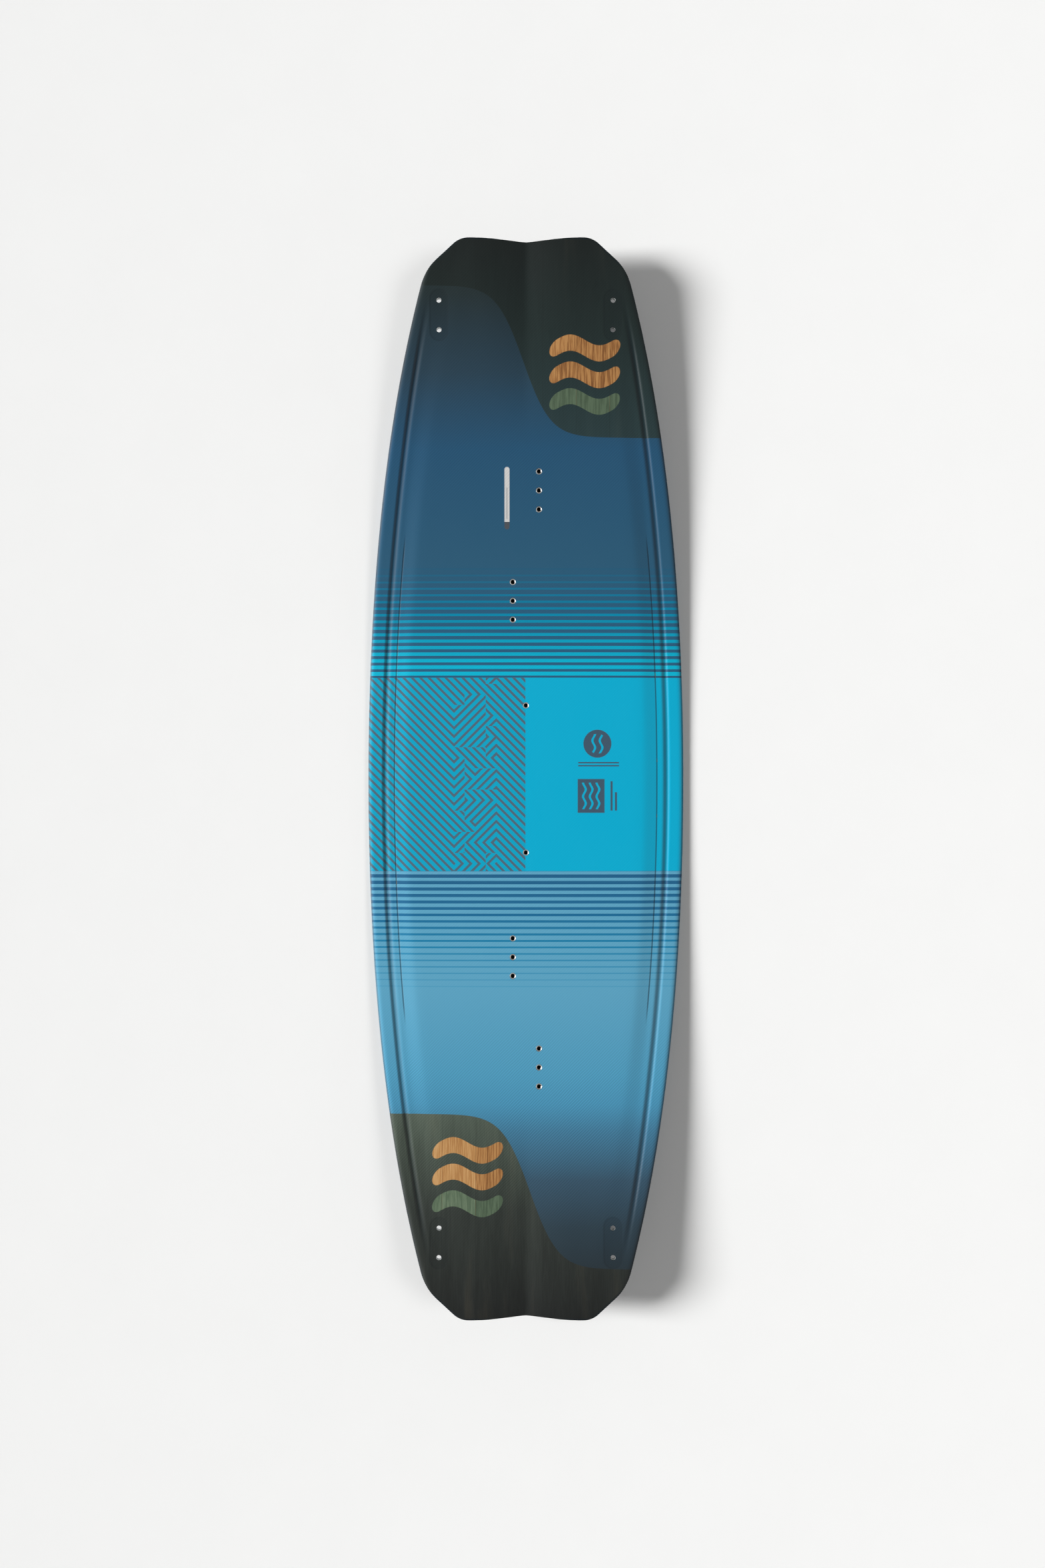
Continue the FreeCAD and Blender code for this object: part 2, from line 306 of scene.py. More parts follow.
def finishPiece(piece, angle=30):
    bpy.ops.object.select_all(action="DESELECT")
    piece.select_set(True)
    bpy.context.view_layer.objects.active = piece
    bpy.ops.object.transform_apply(location=True, rotation=True, scale=True)
    bpy.ops.object.shade_smooth_by_angle(angle=math.radians(angle))
    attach(piece, "root")


print("skins")
deckSheet = mouldedSkin(
    "deckSheet",
    lambda x, y, rim: deckHeight(x, y) - board["sheet"],
    lambda x, y, rim: deckHeight(x, y) - rim,
)
allInserts = [spot for row in insertSpots().values() for spot in row]
drill(deckSheet, allInserts, holes["insertDiameter"])
drill(deckSheet, finSpots(), holes["finDiameter"])
finishPiece(deckSheet)
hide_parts("deck_sheet")

baseSheet = mouldedSkin(
    "baseSheet",
    lambda x, y, rim: baseHeight(x, y) + rim,
    lambda x, y, rim: baseHeight(x, y) + board["sheet"],
)
drill(baseSheet, finSpots(), holes["finDiameter"])
finishPiece(baseSheet)
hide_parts("base_sheet")

# A flanged screw insert, turned from one bar
insert = {
    "flangeRadius": 7.0,
    "flangeHeight": 1.2,
    "bodyRadius": 4.2,
    "height": 6.6,
    "below": 0.12,
    "mouthRadius": 3.2,
    "boreRadius": 2.72,
    "threads": 9,
    "threadPitch": 0.5,
    "threadDepth": 0.3,
    "chamfer": (0.2, 0.25),
    "lipWidth": 0.35,
    "lipDrop": 0.3,
    "boreStart": 0.5,
}


def topFaceOnly(piece):
    bpy.ops.object.mode_set(mode="OBJECT")
    for part in (piece.data.vertices, piece.data.edges, piece.data.polygons):
        part.foreach_set("select", [False] * len(part))
    best = max(
        piece.data.polygons,
        key=lambda face: (face.normal.z > 0.9) * len(face.vertices) * 10 + face.center.z,
    )
    best.select = True
    bpy.ops.object.mode_set(mode="EDIT")
    bpy.ops.mesh.select_mode(type="FACE")


def moveFace(depth, scale):
    bpy.ops.mesh.extrude_region_move(TRANSFORM_OT_translate={"value": (0, 0, depth * mm)})
    bpy.ops.transform.resize(value=(scale, scale, 1), center_override=(0, 0, 0))


def turnedInsert():
    bpy.ops.object.select_all(action="DESELECT")
    bpy.ops.mesh.primitive_cylinder_add(
        vertices=40,
        radius=insert["flangeRadius"] * mm,
        depth=insert["flangeHeight"] * mm,
        location=(0, 0, (insert["flangeHeight"] / 2 - insert["height"]) * mm),
    )
    piece = bpy.context.object
    bpy.ops.object.transform_apply(location=True, rotation=True, scale=True)
    topFaceOnly(piece)
    body = insert["bodyRadius"]
    bpy.ops.mesh.inset(thickness=(insert["flangeRadius"] - body) * mm, depth=0)
    cutIn, cutDown = insert["chamfer"]
    moveFace(insert["height"] - insert["flangeHeight"] - cutDown, 1.0)
    moveFace(cutDown - insert["below"], (body - cutIn) / body)
    now = body - cutIn
    mouth, inner, drop = insert["mouthRadius"], insert["boreRadius"], insert["lipDrop"]
    for radius, rise in ((mouth + insert["lipWidth"], 0.0), (mouth, -drop), (inner, -drop)):
        moveFace(rise, radius / now)
        now = radius
    for turn in range(insert["threads"]):
        for radius in (inner - insert["threadDepth"], inner):
            moveFace(-insert["threadPitch"] / 2, radius / now)
            now = radius
    bpy.ops.object.mode_set(mode="OBJECT")
    # Marks the threads and the foot of the bore, where the steel gets a painted shade
    paintedBoreShade = piece.data.attributes.new("paintedBoreShade", "FLOAT", "POINT")
    for point, mark in zip(piece.data.vertices, paintedBoreShade.data):
        deep = point.co.z < -(insert["below"] + insert["boreStart"]) * mm
        mark.value = float(deep and math.hypot(point.co.x, point.co.y) < (inner + 0.1) * mm)
    return piece


print("inserts")
pattern = turnedInsert()
for name, spots in insertSpots().items():
    copies = []
    for x, y in spots:
        z = float(deckHeight(np.float64(x), np.float64(y)))
        one = bpy.data.objects.new(name, pattern.data.copy())
        bpy.context.scene.collection.objects.link(one)
        one.location = Vector((x, y, z)) * mm
        copies.append(one)
    bpy.ops.object.select_all(action="DESELECT")
    for one in copies:
        one.select_set(True)
    bpy.context.view_layer.objects.active = copies[0]
    bpy.ops.object.transform_apply(location=True, rotation=True, scale=True)
    bpy.ops.object.join()
    row = bpy.context.object
    row.name = name + "Inserts"
    finishPiece(row, 35)
    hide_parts(name + "_inserts")
bpy.data.objects.remove(pattern)


def paint(red, green, blue, alpha=1.0):
    parts = []
    for value in (red, green, blue):
        value = value / 255
        parts.append(value / 12.92 if value <= 0.04045 else ((value + 0.055) / 1.055) ** 2.4)
    return (*parts, alpha)


def grey(level):
    return (level, level, level, 1.0)


def wire(tree, source, socket):
    if isinstance(source, bpy.types.NodeSocket):
        tree.links.new(source, socket)
    else:
        socket.default_value = source


def calc(tree, operation, *values, clamp=False):
    node = tree.nodes.new("ShaderNodeMath")
    node.operation = operation
    node.use_clamp = clamp
    for value, socket in zip(values, node.inputs):
        wire(tree, value, socket)
    return node.outputs[0]


def blendPaint(tree, factor, first, second, mode="MIX"):
    node = tree.nodes.new("ShaderNodeMix")
    node.data_type = "RGBA"
    node.blend_type = mode
    wire(tree, factor, node.inputs["Factor"])
    wire(tree, first, node.inputs[6])
    wire(tree, second, node.inputs[7])
    return node.outputs[2]


def ramp(tree, factor, stops):
    node = tree.nodes.new("ShaderNodeValToRGB")
    wire(tree, factor, node.inputs[0])
    points = node.color_ramp.elements
    while len(points) < len(stops):
        points.new(0.5)
    for point, (place, colour) in zip(points, stops):
        point.position = place
    for point, (place, colour) in zip(points, stops):
        point.color = colour
    return node.outputs["Color"]


def noise(tree, vector, scale, detail=4.0, roughness=0.5):
    node = tree.nodes.new("ShaderNodeTexNoise")
    wire(tree, vector, node.inputs["Vector"])
    node.inputs["Scale"].default_value = scale
    node.inputs["Detail"].default_value = detail
    node.inputs["Roughness"].default_value = roughness
    return node.outputs["Fac"]


def stretched(tree, vector, sizes):
    node = tree.nodes.new("ShaderNodeVectorMath")
    node.operation = "MULTIPLY"
    wire(tree, vector, node.inputs[0])
    node.inputs[1].default_value = sizes
    return node.outputs[0]


def between(tree, value, low, high):
    # 0 at low and 1 at high, whichever of them is the greater
    node = tree.nodes.new("ShaderNodeMapRange")
    node.interpolation_type = "SMOOTHSTEP"
    wire(tree, value, node.inputs["Value"])
    wire(tree, low, node.inputs["From Min"])
    wire(tree, high, node.inputs["From Max"])
    return node.outputs["Result"]


def edged(tree, field, soft=0.35):
    # 1 where the field is negative, with an edge as soft as the print's own
    return calc(tree, "MULTIPLY_ADD", field, -0.5 / soft, 0.5, clamp=True)


def apart(tree, value, middle):
    return calc(tree, "ABSOLUTE", calc(tree, "SUBTRACT", value, middle))


def fromMiddle(tree, turns):
    # How far a count of turns is from the middle of its own turn
    return apart(tree, calc(tree, "FRACT", turns), 0.5)


def aroundMiddle(tree, value, size):
    return calc(tree, "MULTIPLY", calc(tree, "SUBTRACT", value, 0.5), size)


def hypotenuse(tree, along, across):
    squares = calc(tree, "MULTIPLY", along, along)
    return calc(tree, "SQRT", calc(tree, "MULTIPLY_ADD", across, across, squares))


def startGroup(name, inputs, outputs):
    group = bpy.data.node_groups.new(name, "ShaderNodeTree")
    for title, kind, value in inputs:
        socket = group.interface.new_socket(name=title, in_out="INPUT", socket_type=kind)
        if value is not None:
            socket.default_value = value
    for title, kind in outputs:
        group.interface.new_socket(name=title, in_out="OUTPUT", socket_type=kind)
    return group, group.nodes.new("NodeGroupInput").outputs, group.nodes.new("NodeGroupOutput").inputs


def useGroup(tree, group, **values):
    node = tree.nodes.new("ShaderNodeGroup")
    node.node_tree = group
    for title, value in values.items():
        wire(tree, value, node.inputs[title])
    return node.outputs


def clothGroup():
    # Threads of a diagonal cloth: the strong lines run one way, finer ones cross them
    group, given, made = startGroup(
        "diagonalCloth",
        [
            ("Place", "NodeSocketVector", None),
            ("Pitch", "NodeSocketFloat", 4.0),
            ("Cross", "NodeSocketFloat", 0.3),
        ],
        [("Thread", "NodeSocketFloat"), ("Height", "NodeSocketFloat")],
    )
    parts = group.nodes.new("ShaderNodeSeparateXYZ")
    wire(group, given["Place"], parts.inputs[0])
    wobble = calc(group, "MULTIPLY_ADD", noise(group, given["Place"], 0.03, 2.0), 3.0, -1.5)
    turns = calc(group, "DIVIDE", 2 * math.pi, given["Pitch"])
    oneWay = calc(group, "ADD", calc(group, "ADD", parts.outputs[0], parts.outputs[1]), wobble)
    otherWay = calc(group, "SUBTRACT", parts.outputs[0], parts.outputs[1])
    strong = calc(group, "SINE", calc(group, "MULTIPLY", oneWay, turns))
    crossing = calc(group, "SINE", calc(group, "MULTIPLY", otherWay, calc(group, "MULTIPLY", turns, 1.5)))
    both = calc(group, "ADD", strong, calc(group, "MULTIPLY", crossing, given["Cross"]))
    patchy = calc(group, "MULTIPLY_ADD", noise(group, given["Place"], 0.02, 3.0), 1.2, 0.2)
    thread = calc(group, "MULTIPLY", both, patchy)
    wire(group, thread, made["Thread"])
    wire(group, both, made["Height"])
    return group


def grainGroup():
    # Straight grain along the board, in glued strips that differ a little in tone
    group, given, made = startGroup(
        "stripGrain",
        [
            ("Place", "NodeSocketVector", None),
            ("Strip", "NodeSocketFloat", 45.1),
            ("Strips", "NodeSocketFloat", 0.5),
        ],
        [("Tone", "NodeSocketFloat"), ("Seam", "NodeSocketFloat"), ("Height", "NodeSocketFloat")],
    )
    parts = group.nodes.new("ShaderNodeSeparateXYZ")
    wire(group, given["Place"], parts.inputs[0])
    number = calc(group, "ADD", calc(group, "DIVIDE", parts.outputs[1], given["Strip"]), 0.5)
    own = group.nodes.new("ShaderNodeTexWhiteNoise")
    own.noise_dimensions = "1D"
    wire(group, calc(group, "FLOOR", number), own.inputs["W"])
    shift = group.nodes.new("ShaderNodeCombineXYZ")
    wire(group, calc(group, "MULTIPLY", own.outputs["Value"], 900.0), shift.inputs[0])
    wire(group, calc(group, "MULTIPLY", own.outputs["Value"], 70.0), shift.inputs[2])
    moved = group.nodes.new("ShaderNodeVectorMath")
    wire(group, given["Place"], moved.inputs[0])
    wire(group, shift.outputs[0], moved.inputs[1])
    broad = noise(group, stretched(group, moved.outputs[0], (0.0035, 0.09, 0.05)), 1.0, 5.0, 0.55)
    fine = noise(group, stretched(group, moved.outputs[0], (0.012, 0.9, 0.3)), 1.0, 6.0, 0.65)
    pores = noise(group, stretched(group, moved.outputs[0], (0.05, 2.2, 0.8)), 1.0, 3.0, 0.6)
    lines = calc(group, "MULTIPLY", calc(group, "SINE", calc(group, "MULTIPLY", broad, 55.0)), 0.16)
    mixed = calc(group, "ADD", calc(group, "MULTIPLY", broad, 0.45), calc(group, "MULTIPLY", fine, 0.55))
    strips = aroundMiddle(group, own.outputs["Value"], given["Strips"])
    tone = calc(group, "ADD", calc(group, "ADD", mixed, lines), strips)
    poreDip = between(group, pores, 0.36, 0.28)
    tone = calc(group, "SUBTRACT", tone, calc(group, "MULTIPLY", poreDip, 0.22), clamp=True)
    seam = between(group, fromMiddle(group, number), 0.4915, 0.497)
    wire(group, tone, made["Tone"])
    wire(group, seam, made["Seam"])
    wire(group, calc(group, "SUBTRACT", fine, calc(group, "MULTIPLY", seam, 0.5)), made["Height"])
    return group


def handlingGroup():
    # Smears and hair-fine scratches that a smooth finish picks up
    group, given, made = startGroup(
        "handling",
        [
            ("Place", "NodeSocketVector", None),
            ("Rough", "NodeSocketFloat", 0.3),
            ("Spread", "NodeSocketFloat", 0.1),
        ],
        [("Roughness", "NodeSocketFloat"), ("Height", "NodeSocketFloat"), ("Dust", "NodeSocketFloat")],
    )
    smear = noise(group, stretched(group, given["Place"], (0.012, 0.02, 0.02)), 1.0, 4.0, 0.6)
    speck = noise(group, given["Place"], 1.1, 2.0, 0.7)
    hair = noise(group, stretched(group, given["Place"], (0.06, 2.4, 2.4)), 1.0, 2.0, 0.5)
    scratch = between(group, hair, 0.70, 0.74)
    smeared = calc(group, "ADD", given["Rough"], aroundMiddle(group, smear, given["Spread"]))
    wire(group, calc(group, "MULTIPLY_ADD", scratch, 0.12, smeared, clamp=True), made["Roughness"])
    wire(group, calc(group, "SUBTRACT", calc(group, "MULTIPLY", speck, 0.6), scratch), made["Height"])
    wire(group, between(group, speck, 0.55, 0.75), made["Dust"])
    return group


cloth = clothGroup()
grain = grainGroup()
handling = handlingGroup()


def startMaterial(name):
    material = bpy.data.materials.new(name)
    material.use_nodes = True
    tree = material.node_tree
    shader = tree.nodes["Principled BSDF"]
    place = tree.nodes.new("ShaderNodeTexCoord").outputs["Object"]
    place = stretched(tree, place, (1 / mm, 1 / mm, 1 / mm))
    parts = tree.nodes.new("ShaderNodeSeparateXYZ")
    wire(tree, place, parts.inputs[0])
    return material, tree, shader, place, parts.outputs


def bump(tree, shader, height, distance, strength=1.0):
    node = tree.nodes.new("ShaderNodeBump")
    node.inputs["Strength"].default_value = strength
    node.inputs["Distance"].default_value = distance * mm
    wire(tree, height, node.inputs["Height"])
    wire(tree, node.outputs[0], shader.inputs["Normal"])


def discField(tree, x, y, middle, radius):
    away = hypotenuse(tree, calc(tree, "SUBTRACT", x, middle[0]), calc(tree, "SUBTRACT", y, middle[1]))
    return calc(tree, "SUBTRACT", away, radius)


def boxField(tree, x, y, low, high):
    past = []
    for place, start, end in ((x, low[0], high[0]), (y, low[1], high[1])):
        past.append(calc(tree, "SUBTRACT", apart(tree, place, (start + end) / 2), (end - start) / 2))
    return calc(tree, "MAXIMUM", *past)


def pillField(tree, x, y, middle, reach, radius):
    past = calc(tree, "MAXIMUM", calc(tree, "SUBTRACT", apart(tree, x, middle[0]), reach), 0.0)
    away = hypotenuse(tree, past, calc(tree, "SUBTRACT", y, middle[1]))
    return calc(tree, "SUBTRACT", away, radius)


# The deck's print, in millimetres along (x) and across (y)
printed = {
    "sweeps": [
        {"side": 1, "middle": 559.5, "reach": 99.5, "steep": 0.02744, "centre": 3.0},
        {"side": -1, "middle": -553.5, "reach": 101.7, "steep": 0.0266, "centre": -5.0},
    ],
    "sweepSoft": 0.9,
    "block": (-125.2, 137.7),
    "middleLine": 0.6,
    "dullShare": 0.45,
    "lineEnd": 288.0,
    "lineFade": 145.0,
    "lineSoft": 0.05,
    "upper": {"first": 143.2, "pitch": 8.84, "shares": (0.22, 0.60)},
    "lower": {"first": -132.0, "pitch": 8.78, "shares": (0.12, 0.52)},
    "barPitch": 11.5,
    "barShare": 0.40,
    "weaveBand": (40.25, 97.75),
    "weaveCells": 4,
    "weaveSeed": 3.0,
    "weaveKept": 0.45,
    "strip": (25.6, 337.8, 421.3),
    "stripRadius": 3.4,
    "stripEnd": 10.0,
    "stripRule": (14.0, 56.0),
    "motifs": [(543.0, -79.0), (-535.0, 78.5)],
    "motifHalf": 37.0,
    "motifBand": 10.5,
    "motifPitch": 35.0,
    "motifWave": 7.0,
    "motifWaveLength": 78.0,
}

colours = {
    "cyan": paint(0, 167, 203),
    "cyanDull": paint(0, 148, 178),
    "lineCyan": paint(0, 165, 197),
    "bar": paint(78, 95, 109),
    "badge": paint(64, 79, 95),
    "label": paint(200, 199, 197),
    "labelEnd": paint(75, 79, 85),
}


def alongShare(tree, x):
    return calc(tree, "MULTIPLY_ADD", x, 1 / (2 * board["halfLength"]), 0.5)


def alongRamp(tree, x, stops):
    length = 2 * board["halfLength"]
    return ramp(tree, alongShare(tree, x), [(at / length + 0.5, paint(*colour)) for at, colour in stops])


def lineMask(tree, x, lines, side):
    # Cross lines that thin out away from the middle of the board
    away = calc(tree, "MULTIPLY", x, side)
    left = calc(tree, "SUBTRACT", printed["lineEnd"], away)
    span = calc(tree, "DIVIDE", left, printed["lineFade"], clamp=True)
    thin, thick = lines["shares"]
    share = calc(tree, "MULTIPLY_ADD", span, thick - thin, thin)
    number = calc(tree, "DIVIDE", calc(tree, "SUBTRACT", x, lines["first"]), lines["pitch"])
    off = fromMiddle(tree, calc(tree, "ADD", number, 0.5))
    gap = calc(tree, "SUBTRACT", calc(tree, "MULTIPLY", share, 0.5), off)
    mask = calc(tree, "MULTIPLY_ADD", gap, 1 / printed["lineSoft"], 0.5, clamp=True)
    started, lasting = calc(tree, "GREATER_THAN", away, 0.0), calc(tree, "GREATER_THAN", left, 0.0)
    return calc(tree, "MULTIPLY", mask, calc(tree, "MULTIPLY", started, lasting))


def sweepMask(tree, x, y, sweep):
    across = calc(tree, "MULTIPLY", calc(tree, "SUBTRACT", y, sweep["centre"]), sweep["steep"])
    line = calc(tree, "MULTIPLY_ADD", calc(tree, "TANH", across), sweep["reach"], sweep["middle"])
    past = calc(tree, "SUBTRACT", x, line)
    return calc(tree, "MULTIPLY_ADD", past, sweep["side"] / printed["sweepSoft"], 0.5, clamp=True)


def barMask(tree, x, y):
    # Diagonal bars, turned about in a band of square patches
    low, high = printed["weaveBand"]
    cell = (high - low) / printed["weaveCells"]
    inBand = calc(tree, "MULTIPLY", calc(tree, "GREATER_THAN", y, low), calc(tree, "LESS_THAN", y, high))
    patch = tree.nodes.new("ShaderNodeCombineXYZ")
    wire(tree, calc(tree, "FLOOR", calc(tree, "DIVIDE", x, cell)), patch.inputs[0])
    up = calc(tree, "DIVIDE", calc(tree, "SUBTRACT", y, low), cell)
    wire(tree, calc(tree, "FLOOR", up), patch.inputs[1])
    patch.inputs[2].default_value = printed["weaveSeed"]
    toss = tree.nodes.new("ShaderNodeTexWhiteNoise")
    wire(tree, patch.outputs[0], toss.inputs["Vector"])
    chosen = calc(tree, "GREATER_THAN", toss.outputs["Value"], printed["weaveKept"])
    way = calc(tree, "MULTIPLY_ADD", calc(tree, "MULTIPLY", chosen, inBand), 2.0, -1.0)
    across = calc(tree, "ADD", x, calc(tree, "MULTIPLY", y, way))
    off = fromMiddle(tree, calc(tree, "DIVIDE", across, printed["barPitch"]))
    gap = calc(tree, "SUBTRACT", printed["barShare"] / 2, off)
    bars = calc(tree, "MULTIPLY_ADD", gap, 1 / printed["lineSoft"], 0.5, clamp=True)
    return calc(tree, "MULTIPLY", bars, calc(tree, "GREATER_THAN", y, printed["middleLine"]))


def motifMasks(tree, x, y, middle):
    # Three wavy bands one above the other; the last is stained
    along, across = calc(tree, "SUBTRACT", x, middle[0]), calc(tree, "SUBTRACT", y, middle[1])
    wave = calc(tree, "SINE", calc(tree, "MULTIPLY", across, 2 * math.pi / printed["motifWaveLength"]))
    up = calc(tree, "SUBTRACT", along, calc(tree, "MULTIPLY", wave, printed["motifWave"]))
    pitch = printed["motifPitch"]
    whole = calc(tree, "LESS_THAN", calc(tree, "ABSOLUTE", up), pitch * 1.5)
    turn = calc(tree, "FRACT", calc(tree, "DIVIDE", calc(tree, "ADD", up, pitch * 1.5), pitch))
    ends = calc(tree, "SUBTRACT", calc(tree, "ABSOLUTE", across), printed["motifHalf"])
    away = hypotenuse(tree, calc(tree, "MAXIMUM", ends, 0.0), aroundMiddle(tree, turn, pitch))
    mask = calc(tree, "MULTIPLY", edged(tree, calc(tree, "SUBTRACT", away, printed["motifBand"])), whole)
    return mask, calc(tree, "LESS_THAN", up, -pitch / 2)


# The plain badge: a disc and a panel with wave lines through them, and four rules
badges = {
    "disc": (48.0, -97.3),
    "discRadius": 19.0,
    "discRoom": 13.5,
    "discLines": (-102.3, -92.3),
    "panel": ((-46.0, -107.0), (0.0, -70.5)),
    "panelRoom": ((-41.0, -110.0), (-5.0, -66.0)),
    "panelLines": (-98.0, -88.8, -79.6),
    "lineHalfWidth": 1.5,
    "waveLength": 19.0,
    "waveHeight": 1.8,
    "rules": (
        ((21.3, -126.8), (23.1, -71.2)),
        ((17.1, -126.8), (18.9, -71.2)),
        ((-43.0, -118.0), (-3.0, -115.2)),
        ((-43.0, -124.0), (-18.0, -121.2)),
    ),
}


def waveLines(tree, ride, shape, room, lines):
    # Wave lines are left out of a shape, as far as the room for them goes
    for line in lines:
        past = calc(tree, "SUBTRACT", apart(tree, ride, line), badges["lineHalfWidth"])
        outside = calc(tree, "MULTIPLY", calc(tree, "MAXIMUM", past, room), -1.0)
        shape = calc(tree, "MAXIMUM", shape, outside)
    return shape


def badgeField(tree, x, y):
    wave = calc(tree, "SINE", calc(tree, "MULTIPLY", x, 2 * math.pi / badges["waveLength"]))
    ride = calc(tree, "MULTIPLY_ADD", wave, badges["waveHeight"], y)
    disc = discField(tree, x, y, badges["disc"], badges["discRadius"])
    discRoom = discField(tree, x, y, badges["disc"], badges["discRoom"])
    panel = boxField(tree, x, y, *badges["panel"])
    panelRoom = boxField(tree, x, y, *badges["panelRoom"])
    total = calc(
        tree, "MINIMUM",
        waveLines(tree, ride, disc, discRoom, badges["discLines"]),
        waveLines(tree, ride, panel, panelRoom, badges["panelLines"]),
    )
    for low, high in badges["rules"]:
        total = calc(tree, "MINIMUM", total, boxField(tree, x, y, low, high))
    return total


deckGradient = [
    (-720, (32, 34, 33)), (-600, (44, 60, 70)), (-540, (53, 79, 97)), (-475, (63, 116, 145)),
    (-440, (70, 139, 172)), (-400, (76, 148, 180)), (-290, (89, 157, 187)), (-60, (91, 159, 189)),
    (-59, (39, 94, 124)), (150, (39, 91, 122)), (300, (41, 86, 113)), (445, (36, 79, 109)),
    (545, (39, 62, 77)), (650, (35, 46, 48)),
]
woodGradient = [
    (-720, (32, 34, 33)), (-580, (51, 56, 52)), (-440, (81, 92, 81)),
    (450, (41, 59, 61)), (600, (32, 43, 42)), (720, (27, 32, 31)),
]
lineGradient = [
    (-290, (79, 153, 185)), (-225, (30, 124, 163)), (-180, (30, 102, 143)), (-130, (32, 93, 132)),
    (-60, (32, 93, 132)), (-59, (0, 173, 203)), (150, (0, 173, 203)), (235, (0, 120, 155)),
    (290, (38, 83, 111)),
]


def sideDistance(tree, x, y):
    # How far a point lies inside the long edge
    along = calc(tree, "DIVIDE", x, board["halfLength"])
    square = calc(tree, "MULTIPLY", along, along)
    late = calc(tree, "MULTIPLY", calc(tree, "MULTIPLY", square, square), board["lateTaper"])
    bend = calc(tree, "MULTIPLY_ADD", square, 1 - board["lateTaper"], late)
    narrowing = board["sideWidthAtTip"] / 2 - board["halfWidth"]
    side = calc(tree, "MULTIPLY_ADD", bend, narrowing, board["halfWidth"])
    return calc(tree, "SUBTRACT", side, calc(tree, "ABSOLUTE", y))


def rimDistance(tree, x, y):
    # From the side, the tip or the cut corner, whichever is nearest
    outX, outY = calc(tree, "ABSOLUTE", x), calc(tree, "ABSOLUTE", y)
    toTip = calc(tree, "SUBTRACT", board["halfLength"], outX)
    cornerX = board["halfLength"] - board["cornerFromTip"]
    cornerY = float(sideLine(cornerX))
    run, drop = board["cornerFromTip"], cornerY - board["tipEdge"]
    slant = math.hypot(run, drop)
    cut = calc(tree, "MULTIPLY_ADD", outX, drop / slant, calc(tree, "MULTIPLY", outY, run / slant))
    toCut = calc(tree, "SUBTRACT", (cornerX * drop + cornerY * run) / slant, cut)
    return calc(tree, "MINIMUM", calc(tree, "MINIMUM", sideDistance(tree, x, y), toTip), toCut)


# Strengths and colour of the painted shade in the side channel and the crease
paintedShade = {
    "channelShift": 0.8,
    "channelReach": (1.0, 6.0),
    "channelShade": 0.4,
    "creaseReach": (0.3, 1.5),
    "creaseShade": 0.6,
    "paint": paint(6, 22, 32),
}


def sideBand(tree, inward, line, reach, outX, ends):
    # 1 along a line beside the edge, 0 past its reach and its ends
    across = between(tree, apart(tree, inward, line), reach[1], reach[0])
    return calc(tree, "MULTIPLY", across, between(tree, outX, ends[1], ends[0]))


def paintedShadeMask(tree, x, y):
    # Painted shade: a dark tint in the channel and the crease, standing in for the shade that falls there
    inward = sideDistance(tree, x, y)
    outX = calc(tree, "ABSOLUTE", x)
    start = board["channelFade"][0] - board["channelRun"]
    run = calc(tree, "DIVIDE", calc(tree, "SUBTRACT", outX, start), board["channelRun"])
    run = calc(tree, "MAXIMUM", run, 0.0)
    line = board["channelLine"] + paintedShade["channelShift"]
    line = calc(tree, "MULTIPLY_ADD", calc(tree, "MULTIPLY", run, run), -board["channelDrift"], line)
    channel = sideBand(tree, inward, line, paintedShade["channelReach"], outX, board["channelFade"])
    crease = sideBand(tree, inward, board["creaseLine"], paintedShade["creaseReach"], outX, board["creaseFade"])
    shade = calc(tree, "MULTIPLY", channel, paintedShade["channelShade"])
    return calc(tree, "MULTIPLY_ADD", crease, paintedShade["creaseShade"], shade)


def recessField(tree, x, y):
    # The pill round each pair of fin holes
    (innerX, finY), (outerX, finY) = holes["fins"]
    field = None
    for alongSide in (1, -1):
        for acrossSide in (1, -1):
            middle = (alongSide * (innerX + outerX) / 2, acrossSide * finY)
            pill = pillField(tree, x, y, middle, holes["recessReach"], holes["recessRadius"])
            field = pill if field is None else calc(tree, "MINIMUM", field, pill)
    return field


